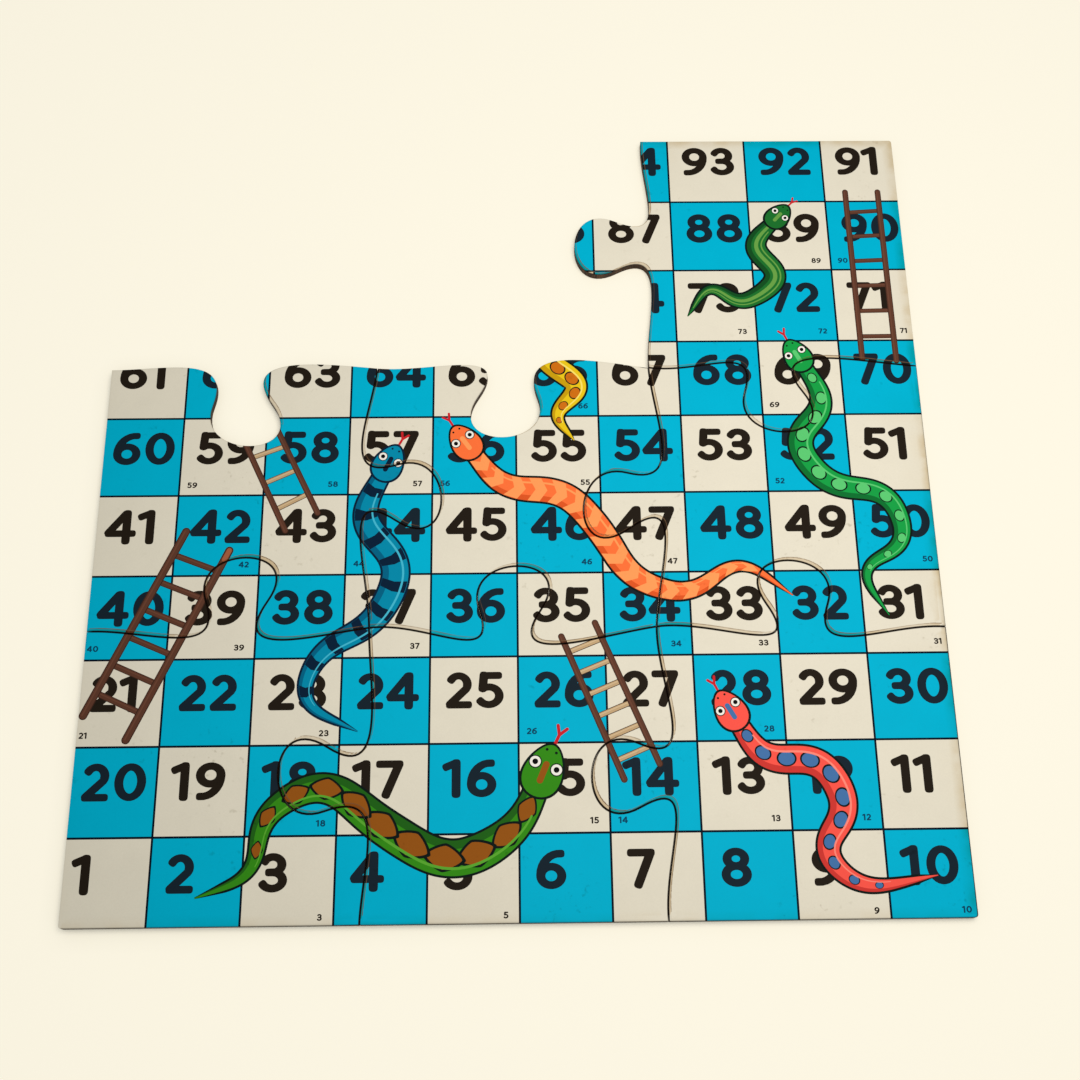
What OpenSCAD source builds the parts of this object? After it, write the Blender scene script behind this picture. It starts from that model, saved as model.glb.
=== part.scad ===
// Snakes and ladders board, cut as a jigsaw from one printed sheet of fibreboard.
// Millimetres, +Z up. The origin is the middle of the board's underside.
// Three tiles across and three up make the full square; seven of those tiles are here.
// The two left-hand places of the top row stay open, so two sockets and one tab are free.

/* [Board] */
// Width of the square board, three tiles across
board_w = 300; // [240:6:360]
// Thickness of the fibreboard core
core_t = 3; // [2:0.5:6]
// Thickness of the printed film on the core
film_t = 0.2; // [0.1:0.05:0.5]
// Radius of the board's outer corners
corner_r = 1; // [0.5:0.5:8]

/* [Jigsaw cut] */
// Width of the cut between two tiles
kerf = 0.3; // [0.1:0.05:0.5]
// Tab size, which is two fifths of a regular tab's reach
tab = 10.8; // [8:0.2:11.4]
// How far the seams wander from straight lines and regular tabs, where 0 makes all seams alike
wander = 1; // [0:0.1:1]
// Straight steps along each of the three curves of a seam
curve_steps = 30; // [8:1:40]

/* [Finish] */
// Colour of the fibreboard
core_colour = "#7a5230"; // [#7a5230:Brown, #a57c50:Tan, #4a3322:Dark]
// Main colour of the printed film
film_colour = "#02a5cc"; // [#02a5cc:Blue, #e4ddc6:Cream, #2f8f3a:Green]

/* [Hidden] */
tiles_across = 3;
last_tile = tiles_across - 1;
half_w = board_w / 2;
tile_w = board_w / tiles_across;
// Tile outlines run this far past the board's edge before the edge trims them
overrun = 2;
// The wander is written for a tile of this width, and grows and shrinks with the tiles
drawn_tile_w = 100;
drawn = wander * tile_w / drawn_tile_w;
$fn = 64;

// Seams follow two lines that run up the board, between its columns, and two that run across it, between
// its rows. How far each line lies from its regular place, to the right or up, where it starts, at its
// crossings and where it ends:
UP_SHIFTS = [[-2.5, -2, -1.5], [-1.5, -1.5, -0.5, 0]];
ACROSS_SHIFTS = [[0, 0.5, 0, -1], [1, 1, 0.5, 0.5]];
// How far each line moves to its left over a fifth of a tile at these same places
UP_SLOPES = [[-0.5, 0.5, -2], [1.5, -1, 1, -1]];
ACROSS_SLOPES = [[1, 2.5, 3, -1.5], [0, -2, -3, -1.5]];
// The tab on each seam: the side it points to (1 left of the line's run, -1 right), its shift along the
// seam, its extra reach and its lean. By line, and then by row from the bottom or by column from the left
UP_TABS = [
    [[ 1, -2.5, 2, -3],
     [-1, 0.5, -2.5, 4]],
    [[ 1, -2, -3, 1],
     [ 1, -3, -2, 5],
     [ 1, 2.5, 0, 1]]
];
ACROSS_TABS = [
    [[ 1, 2.5, -0.5, -3],
     [ 1, -1, -4.5, -3.5],
     [ 1, -1, -2.5, 3]],
    [[-1, 0, 4, -4.5],
     [-1, -2, 1, 3],
     [-1, -4, -0.5, -4]]
];

// Point at u, from 0 to 1, on the cubic curve with four control points
function cubic(p, u) =
    pow(1 - u, 3) * p[0] + 3 * pow(1 - u, 2) * u * p[1] + 3 * (1 - u) * u * u * p[2] + pow(u, 3) * p[3];

// Direction of travel at u on that curve
function cubic_run(p, u) =
    pow(1 - u, 2) * (p[1] - p[0]) + 2 * (1 - u) * u * (p[2] - p[1]) + u * u * (p[3] - p[2]);

// Unit vector to the left of a direction
function left_of(v) = [-v[1], v[0]] / norm(v);

function reversed(list) = [for (i = [len(list) - 1 : -1 : 0]) list[i]];

// Control points of a seam's three curves: lead-in, tab and lead-out, which share their end points.
// The seam runs along +X from 0 to span, with a tab of the given form and the line's slopes at its ends.
function seam_controls(form, slope_in, slope_out, span) =
    let (
        side = form[0],
        middle = span / 2 + drawn * form[1],
        reach = drawn * form[2],
        lean = drawn * form[3],
        neck_pull = [middle + lean, side * (reach - tab)]
    ) [
        [0, 0],
        [0.2 * span, drawn * slope_in],
        neck_pull,
        [middle - tab, side * (reach + tab)],
        [middle - 2 * tab - lean, side * (reach + 3 * tab)],
        [middle + 2 * tab - lean, side * (reach + 3 * tab)],
        [middle + tab, side * (reach + tab)],
        neck_pull,
        [0.8 * span, -drawn * slope_out],
        [span, 0]
    ];

// Points along a seam between its two ends, moved to its left by gap
function seam_points(controls, gap) =
    [for (i = [1 : 3 * curve_steps - 1])
        let (
            curve = floor(i / curve_steps),
            u = i / curve_steps - curve,
            p = [for (k = [0 : 3]) controls[3 * curve + k]]
        )
        cubic(p, u) + gap * left_of(cubic_run(p, u))];

// The line after column or row i is the board's edge before the first one and after the last
function on_edge(i) = i < 0 || i == last_tile;

// Place of that line where it meets line j of the other way
function line_at(i, j, shifts) = (i + 1) * tile_w - half_w + (on_edge(i) ? 0 : drawn * shifts[i][j + 1]);

// Meeting of the line after column col with the line after row
function meeting(col, row) = [line_at(col, row, UP_SHIFTS), line_at(row, col, ACROSS_SHIFTS)];

// Points of the seam from one meeting to the next, moved to its left by gap
function seam(start, end, form, slope_in, slope_out, gap) =
    let (
        span = norm(end - start),
        run = (end - start) / span,
        controls = seam_controls(form, slope_in, slope_out, span)
    )
    [for (q = seam_points(controls, gap)) start + q[0] * run + q[1] * left_of(run)];

// Points of the seam to the right of column col, beside row
function up_seam(col, row, gap) =
    let (slopes = UP_SLOPES[col])
    seam(meeting(col, row - 1), meeting(col, row), UP_TABS[col][row],
         slopes[row], slopes[row + 1], gap);

// Points of the seam above row, over column col
function across_seam(col, row, gap) =
    let (slopes = ACROSS_SLOPES[row])
    seam(meeting(col - 1, row), meeting(col, row), ACROSS_TABS[row][col],
         slopes[col], slopes[col + 1], gap);

// A tile's corner lies half a cut inside a line, or past the board's edge
function inset(i) = on_edge(i) ? -overrun : kerf / 2;

// Corner of a tile at the meeting of two of its lines, with the way from there into the tile
function tile_corner(col, row, inward) =
    meeting(col, row) + [inward[0] * inset(col), inward[1] * inset(row)];

// Outline of a tile, anticlockwise from its lower left corner
function tile_outline(col, row) =
    concat(
        [tile_corner(col - 1, row - 1, [1, 1])],
        row == 0 ? [] : across_seam(col, row - 1, kerf / 2),
        [tile_corner(col, row - 1, [-1, 1])],
        col == last_tile ? [] : up_seam(col, row, kerf / 2),
        [tile_corner(col, row, [-1, -1])],
        row == last_tile ? [] : reversed(across_seam(col, row, -kerf / 2)),
        [tile_corner(col - 1, row, [1, -1])],
        col == 0 ? [] : reversed(up_seam(col - 1, row, -kerf / 2))
    );

// Face of the whole board, with its rounded corners
module board_face() {
    inner_w = board_w - 2 * corner_r;
    square([inner_w, board_w], center = true);
    square([board_w, inner_w], center = true);
    for (x = [-1, 1], y = [-1, 1])
        translate([x, y] * inner_w / 2) circle(r = corner_r);
}

// One layer of a tile, from height z up
module tile_layer(col, row, z, thickness) {
    translate([0, 0, z])
        linear_extrude(height = thickness)
            intersection() {
                polygon(tile_outline(col, row));
                board_face();
            }
}

// Fibreboard cores
module bottom_left_core() { color(core_colour) tile_layer(0, 0, 0, core_t); }
module bottom_middle_core() { color(core_colour) tile_layer(1, 0, 0, core_t); }
module bottom_right_core() { color(core_colour) tile_layer(2, 0, 0, core_t); }
module middle_left_core() { color(core_colour) tile_layer(0, 1, 0, core_t); }
module centre_core() { color(core_colour) tile_layer(1, 1, 0, core_t); }
module middle_right_core() { color(core_colour) tile_layer(2, 1, 0, core_t); }
module top_right_core() { color(core_colour) tile_layer(2, 2, 0, core_t); }

// Printed films, glued on top of the cores and cut with them
module bottom_left_print() { color(film_colour) tile_layer(0, 0, core_t, film_t); }
module bottom_middle_print() { color(film_colour) tile_layer(1, 0, core_t, film_t); }
module bottom_right_print() { color(film_colour) tile_layer(2, 0, core_t, film_t); }
module middle_left_print() { color(film_colour) tile_layer(0, 1, core_t, film_t); }
module centre_print() { color(film_colour) tile_layer(1, 1, core_t, film_t); }
module middle_right_print() { color(film_colour) tile_layer(2, 1, core_t, film_t); }
module top_right_print() { color(film_colour) tile_layer(2, 2, core_t, film_t); }

bottom_left_core();
bottom_left_print();
bottom_middle_core();
bottom_middle_print();
bottom_right_core();
bottom_right_print();
middle_left_core();
middle_left_print();
centre_core();
centre_print();
middle_right_core();
middle_right_print();
top_right_core();
top_right_print();
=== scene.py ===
"""Dresses the jigsaw snakes and ladders board: printed faces, fibreboard, studio and camera.

Sizes are in metres, apart from the drawing on the printed sheet, which is laid out in squares: one unit
is the width of a square of the track, counted right and up from the sheet's lower left line crossing.
"""

import logging
import math
from dataclasses import dataclass, field, replace
from enum import Enum
from typing import Any

import bpy
import numpy as np
from mathutils import Matrix, Vector
from mathutils.geometry import delaunay_2d_cdt


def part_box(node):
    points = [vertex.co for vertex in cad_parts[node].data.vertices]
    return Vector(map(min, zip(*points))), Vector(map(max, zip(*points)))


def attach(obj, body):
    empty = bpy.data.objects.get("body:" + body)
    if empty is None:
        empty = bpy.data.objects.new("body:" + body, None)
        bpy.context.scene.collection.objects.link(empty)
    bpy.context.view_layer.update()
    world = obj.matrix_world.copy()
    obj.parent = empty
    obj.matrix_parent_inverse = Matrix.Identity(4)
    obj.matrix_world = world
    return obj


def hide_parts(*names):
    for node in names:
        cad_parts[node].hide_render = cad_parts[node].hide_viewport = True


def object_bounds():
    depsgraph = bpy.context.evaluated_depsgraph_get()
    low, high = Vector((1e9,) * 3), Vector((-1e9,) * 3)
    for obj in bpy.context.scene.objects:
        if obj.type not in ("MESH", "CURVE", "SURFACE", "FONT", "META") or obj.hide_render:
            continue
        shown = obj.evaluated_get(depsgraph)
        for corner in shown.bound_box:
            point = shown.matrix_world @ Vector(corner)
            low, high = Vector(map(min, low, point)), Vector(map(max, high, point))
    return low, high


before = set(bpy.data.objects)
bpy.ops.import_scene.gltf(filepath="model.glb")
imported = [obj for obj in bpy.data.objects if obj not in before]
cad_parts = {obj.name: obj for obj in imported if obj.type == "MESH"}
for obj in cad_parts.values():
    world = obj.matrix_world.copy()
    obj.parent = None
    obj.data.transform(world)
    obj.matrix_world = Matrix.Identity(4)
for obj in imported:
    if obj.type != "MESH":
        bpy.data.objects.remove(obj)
cad_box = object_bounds()

LOG = logging.getLogger("board")
MM = 0.001
# Places nearer to each other than this count as one; before they are merged they keep these decimals
CLOSE, DECIMALS = 0.01 * MM, 7
# Degrees between points on an arc, and the turn and the points of a pen stroke's cap
ARC_STEP = 12
CAP_TURN, CAP_POINTS = 75, 9

Array = np.ndarray
Colour = tuple[float, float, float, float]
Pair = tuple[float, float]
Triple = tuple[float, float, float]
Tone = tuple[int, int, int]


def linear(tone: Tone) -> Colour:
    """Turn a display tone into a shader colour by the usual two-part display curve.

    Args:
        tone: Red, green and blue in display steps from 0 to 255.

    Returns:
        Linear red, green and blue, with an alpha of 1.
    """
    knee, slope, offset, power = 0.04045, 12.92, 0.055, 2.4
    steps = np.asarray(tone, float) / 255
    light = np.where(steps <= knee, steps / slope, ((steps + offset) / (1 + offset)) ** power)
    return (*light.tolist(), 1.0)


class Ink(Enum):
    """Inks of the printed sheet, as display tones."""

    CREAM = (229, 223, 206)
    BLUE = (0, 179, 215)
    GRID = (6, 20, 36)
    NUMBER_ON_CREAM = (36, 29, 22)
    NUMBER_ON_BLUE = (24, 38, 49)
    SMALL_ON_BLUE = (12, 68, 98)
    RAIL = (96, 60, 46)
    RAIL_EDGE = (64, 40, 31)
    RAIL_SHINE = (110, 70, 54)
    RAIL_TIP = (166, 96, 68)
    STRAW = (196, 166, 126)
    STRAW_SHINE = (214, 188, 150)
    OUTLINE = (14, 26, 24)
    LEAF = (54, 140, 26)
    LEAF_SHADE = (34, 98, 26)
    LEAF_SHINE = (92, 170, 52)
    BARK = (150, 86, 24)
    TOMATO = (250, 88, 76)
    TOMATO_SHADE = (206, 58, 52)
    TOMATO_SHINE = (255, 140, 124)
    DENIM = (70, 115, 170)
    ORANGE = (253, 116, 60)
    ORANGE_SHADE = (222, 88, 38)
    PEACH = (255, 158, 92)
    LAGOON = (4, 140, 176)
    LAGOON_SHADE = (4, 100, 136)
    LAGOON_SHINE = (70, 186, 214)
    NAVY = (10, 34, 58)
    EMERALD = (24, 158, 70)
    EMERALD_SHADE = (16, 112, 50)
    EMERALD_SHINE = (92, 200, 116)
    FOREST = (30, 112, 46)
    FOREST_SHADE = (20, 78, 34)
    MOSS = (104, 160, 72)
    LEMON = (233, 198, 28)
    LEMON_SHADE = (200, 158, 16)
    LEMON_SHINE = (250, 226, 110)
    AMBER = (206, 112, 22)
    TONGUE = (206, 36, 44)
    EYE_WHITE = (244, 242, 234)
    EYE_BLACK = (12, 12, 12)
    CHAR = (26, 15, 10)
    FILM_BACK = (206, 200, 190)


def arc(centre: Pair, radii: Pair, start: float, end: float) -> Array:
    """Points on an ellipse's arc: the centre plus the radii times the cosine and sine of the angle.

    Args:
        centre: Middle of the ellipse.
        radii: Half widths across and up.
        start: First angle in degrees, anticlockwise from the right.
        end: Last angle in degrees; below start for a clockwise run.

    Returns:
        Points along the arc, about one for each step.
    """
    count = max(3, round(abs(end - start) / ARC_STEP) + 1)
    angles = np.radians(np.linspace(start, end, count))
    return np.asarray(centre) + np.asarray(radii) * np.stack([np.cos(angles), np.sin(angles)], axis=1)


def ellipse(centre: Pair, radii: Pair) -> Array:
    """Closed ring of points on a whole ellipse, without repeating the first."""
    return arc(centre, radii, 0, 360)[:-1]


def line(*points: Pair) -> Array:
    """The given points as an array."""
    return np.asarray(points, float)


def smooth_path(knots: Array, steps: int = 14) -> Array:
    """Curve through knots: on each span a cubic whose end slopes are half the gap between the neighbours.

    Args:
        knots: Points that the curve passes through.
        steps: Points per span.

    Returns:
        Points along the curve, ending on the last knot.
    """
    knots = np.vstack([2 * knots[0] - knots[1], knots, 2 * knots[-1] - knots[-2]])
    u = np.linspace(0, 1, steps, endpoint=False)
    weights = 0.5 * np.stack([
        -u + 2 * u**2 - u**3, 2 - 5 * u**2 + 3 * u**3, u + 4 * u**2 - 3 * u**3, u**3 - u**2,
    ])
    spans = np.stack([knots[:-3], knots[1:-2], knots[2:-1], knots[3:]])
    return np.vstack([np.einsum("ks,knd->nsd", weights, spans).reshape(-1, 2), knots[-2]])


def spaced(path: Array, count: int) -> Array:
    """Points at even distances along a path, found on its running length.

    Args:
        path: Points in order.
        count: Number of points wanted.

    Returns:
        The evenly spaced points.
    """
    run = np.concatenate([[0], np.cumsum(np.linalg.norm(np.diff(path, axis=0), axis=1))])
    wanted = np.linspace(0, run[-1], count)
    return np.stack([np.interp(wanted, run, path[:, 0]), np.interp(wanted, run, path[:, 1])], axis=1)


def rounded(path: Array, reach: int) -> Array:
    """Path with eased bends: the mean of the points up to reach away, turned round beyond the ends."""
    grown = np.vstack([2 * path[0] - path[reach:0:-1], path, 2 * path[-1] - path[-2:-reach - 2:-1]])
    return np.lib.stride_tricks.sliding_window_view(grown, 2 * reach + 1, axis=0).mean(axis=-1)


def left_of(run: Array) -> Array:
    """Unit vectors a quarter turn to the left of the given directions."""
    turned = np.stack([-run[:, 1], run[:, 0]], axis=1)
    return turned / np.linalg.norm(turned, axis=1, keepdims=True)


def ease(value: Array) -> Array:
    """Smooth step from 0 at 0 to 1 at 1, level at both ends."""
    held = np.clip(value, 0, 1)
    return held * held * (3 - 2 * held)


def pen_stroke(path: Array, half: float | Array, square_ends: float = 0.0) -> Array:
    """Closed outline of a pen stroke: the path moved to its left, a cap, the path back on its right, a cap.

    Args:
        path: Middle line of the stroke.
        half: Half the pen's width, or its half widths across and up.
        square_ends: 0 for half-round caps, towards 1 for caps that are square with rounded corners.

    Returns:
        The outline's points in order.
    """
    sides = half * left_of(np.gradient(path, axis=0))
    power = 1 - 0.5 * square_ends
    turn = np.radians(np.linspace(CAP_TURN, -CAP_TURN, CAP_POINTS))
    ahead = np.cos(turn) ** power
    aside = np.sign(turn) * np.abs(np.sin(turn)) ** power

    def cap(at: int, way: float) -> Array:
        """Cap round one end: shares of the forward and sideways half widths that trace a rounded end."""
        forward = np.array([sides[at, 1], -sides[at, 0]])
        return path[at] + way * (ahead[:, None] * forward + aside[:, None] * sides[at])

    return np.vstack([path + sides, cap(-1, 1), (path - sides)[::-1], cap(0, -1)])


def pen_ring(path: Array, half: float | Array) -> tuple[Array, Array]:
    """Outer and inner outline of a closed pen stroke: the ring moved both ways along its normals."""
    sides = half * left_of(np.roll(path, -1, axis=0) - np.roll(path, 1, axis=0))
    return path - sides, path + sides


def inside(points: Array, tails: Array, heads: Array) -> Array:
    """Even-odd test: a point is inside where a ray to its right crosses an odd number of edges.

    Args:
        points: Points to test.
        tails: Start of each edge.
        heads: End of each edge.

    Returns:
        A mask over the points.
    """
    x, y = points[:, :1], points[:, 1:]
    spans = (tails[:, 1] > y) != (heads[:, 1] > y)
    rise = heads[:, 1] - tails[:, 1]
    slope = (heads[:, 0] - tails[:, 0]) / np.where(rise == 0, 1, rise)
    crossing = tails[:, 0] + (y - tails[:, 1]) * slope
    return np.count_nonzero(spans & (crossing > x), axis=1) % 2 == 1


@dataclass(frozen=True)
class Patch:
    """One flat patch of ink: closed loops in squares, filled by the even-odd rule."""

    ink: Ink
    loops: tuple[Array, ...]

    def edges(self) -> tuple[Array, Array]:
        """Start and end points of all edges of the loops."""
        return np.vstack(self.loops), np.vstack([np.roll(loop, -1, axis=0) for loop in self.loops])

    def box(self) -> tuple[Array, Array]:
        """Lowest and highest corner of the patch."""
        points = np.vstack(self.loops)
        return points.min(axis=0), points.max(axis=0)

    def holds(self, points: Array) -> Array:
        """Mask of the points that lie on the patch.

        Args:
            points: Points in squares.

        Returns:
            A mask over the points.
        """
        low, high = self.box()
        near = ((points >= low) & (points <= high)).all(axis=1)
        near[near] = inside(points[near], *self.edges())
        return near


@dataclass(frozen=True)
class Glyph:
    """A digit, in units of its own height, as the middle lines of pen strokes and closed pen rings."""

    width: float
    strokes: tuple[Array, ...] = ()
    rings: tuple[Array, ...] = ()
    before: float = 0.06
    after: float = 0.055


DIGITS = {
    "0": Glyph(0.83, rings=(ellipse((0.415, 0.5), (0.302, 0.405)),), before=0.08),
    "1": Glyph(0.48, (line((0.1, 0.81), (0.33, 0.905)), line((0.365, 0.9), (0.365, 0.1))),
               before=-0.01, after=0.12),
    "2": Glyph(0.72, (
        np.vstack([arc((0.345, 0.66), (0.24, 0.245), 145, -30), line((0.12, 0.12))]),
        line((0.105, 0.095), (0.615, 0.095)))),
    "3": Glyph(0.73, (
        np.vstack([arc((0.345, 0.705), (0.235, 0.2), 150, -75), line((0.25, 0.508))]),
        np.vstack([line((0.25, 0.508), (0.35, 0.508)), arc((0.345, 0.302), (0.27, 0.207), 75, -150)]))),
    "4": Glyph(0.88, (
        line((0.54, 0.88), (0.105, 0.34)), line((0.1, 0.308), (0.775, 0.308)),
        line((0.598, 0.9), (0.598, 0.1))), before=0.03, after=0.03),
    "5": Glyph(0.72, (
        line((0.585, 0.905), (0.19, 0.905)), line((0.185, 0.9), (0.155, 0.56)),
        np.vstack([line((0.165, 0.545)), arc((0.32, 0.34), (0.285, 0.245), 112, -142)])), before=0.075),
    "6": Glyph(0.78, (arc((0.6, 0.36), (0.488, 0.545), 85, 180),),
               (ellipse((0.386, 0.333), (0.274, 0.238)),)),
    "7": Glyph(0.745, (line((0.1, 0.905), (0.635, 0.905)), line((0.61, 0.88), (0.285, 0.1))),
               before=0.03, after=0.03),
    "8": Glyph(0.78, rings=(ellipse((0.39, 0.718), (0.232, 0.187)), ellipse((0.39, 0.313), (0.278, 0.218))),
               before=0.09),
    "9": Glyph(0.78, (arc((0.18, 0.64), (0.488, 0.545), 0, -95),),
               (ellipse((0.394, 0.667), (0.274, 0.238)),)),
}


@dataclass(frozen=True)
class Numerals:
    """Plain numbers of one size, placed alike in each square; the pen is wider across than up."""

    height: float
    pen: Pair
    start: float
    baseline: float
    square_ends: float = 0.55
    from_right: bool = False

    def patches(self, number: int, square: tuple[int, int], ink: Ink) -> list[Patch]:
        """Draw a number in a square: each digit's pen strokes, set one after another.

        Args:
            number: The number to draw.
            square: Column and row of the square.
            ink: Ink of the strokes.

        Returns:
            One patch for each stroke or ring.
        """
        glyphs = [DIGITS[digit] for digit in str(number)]
        steps = [glyph.before + glyph.width + glyph.after for glyph in glyphs]
        pen_at = self.start - self.height * (sum(steps) if self.from_right else 0)
        half = np.asarray(self.pen) / 2
        drawn = []
        for glyph, step in zip(glyphs, steps):
            at = np.array([square[0] + pen_at + self.height * glyph.before, square[1] + self.baseline])
            outlines = [(pen_stroke(path, half, self.square_ends),) for path in glyph.strokes]
            outlines += [pen_ring(path, half) for path in glyph.rings]
            drawn += [Patch(ink, tuple(at + self.height * loop for loop in loops)) for loops in outlines]
            pen_at += self.height * step
        return drawn


@dataclass(frozen=True)
class Ladder:
    """A ladder: two rails with rungs between, in squares; other widths are shares of a bar's width."""

    left: tuple[Pair, Pair]
    right: tuple[Pair, Pair]
    rungs: int
    rung_span: Pair
    rail_width: float
    rung_share: float = 0.8
    rung_lean: float = 0.0
    straw_rungs: bool = False
    pale_tip: bool = False

    FILL = 0.76
    STREAK, STREAK_SHIFT = 0.16, 0.12
    TIP, TIP_LENGTH = 0.6, 0.05

    def patches(self) -> list[Patch]:
        """Draw the rungs, evenly spaced along the rails, and the rails over them.

        Returns:
            The patches in order, from below.
        """
        left, right = line(*self.left), line(*self.right)
        inks = (Ink.STRAW, Ink.STRAW_SHINE) if self.straw_rungs else (Ink.RAIL, Ink.RAIL_SHINE)
        drawn = []
        for share in np.linspace(*self.rung_span, self.rungs):
            start = left[0] + share * (left[1] - left[0])
            end = right[0] + (share + self.rung_lean) * (right[1] - right[0])
            drawn += self.bar(np.stack([start, end]), self.rail_width * self.rung_share, *inks)
        for rail in (left, right):
            drawn += self.bar(rail, self.rail_width, Ink.RAIL, Ink.RAIL_SHINE)
        if self.pale_tip:
            tip = np.stack([right[1] + self.TIP_LENGTH * (right[0] - right[1]), right[1]])
            drawn.append(Patch(Ink.RAIL_TIP, (pen_stroke(tip, self.TIP * self.rail_width / 2),)))
        return drawn

    def bar(self, path: Array, width: float, fill: Ink, shine: Ink) -> list[Patch]:
        """Draw a round bar: dark edge, fill, and a thin lighter streak along its upper left.

        Args:
            path: Both ends of the bar.
            width: Width over the dark edge.
            fill: Ink of the bar.
            shine: Ink of the streak.

        Returns:
            Three patches, from below.
        """
        lit = path + self.STREAK_SHIFT * width * left_of(np.diff(path, axis=0))
        strokes = (Ink.RAIL_EDGE, path, 1.0), (fill, path, self.FILL), (shine, lit, self.STREAK)
        return [Patch(ink, (pen_stroke(way, share * width / 2),)) for ink, way, share in strokes]


class Motif(Enum):
    """Marks along a snake's back."""

    DIAMOND = "diamond"
    SPOT = "spot"
    CHEVRON = "chevron"
    RING = "ring"
    STRIPE = "stripe"


@dataclass(frozen=True)
class SnakeSkin:
    """Inks and marks of one snake."""

    body: Ink
    shade: Ink
    shine: Ink
    mark: Ink
    motif: Motif
    marks: int
    outline: Ink = Ink.OUTLINE


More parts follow.
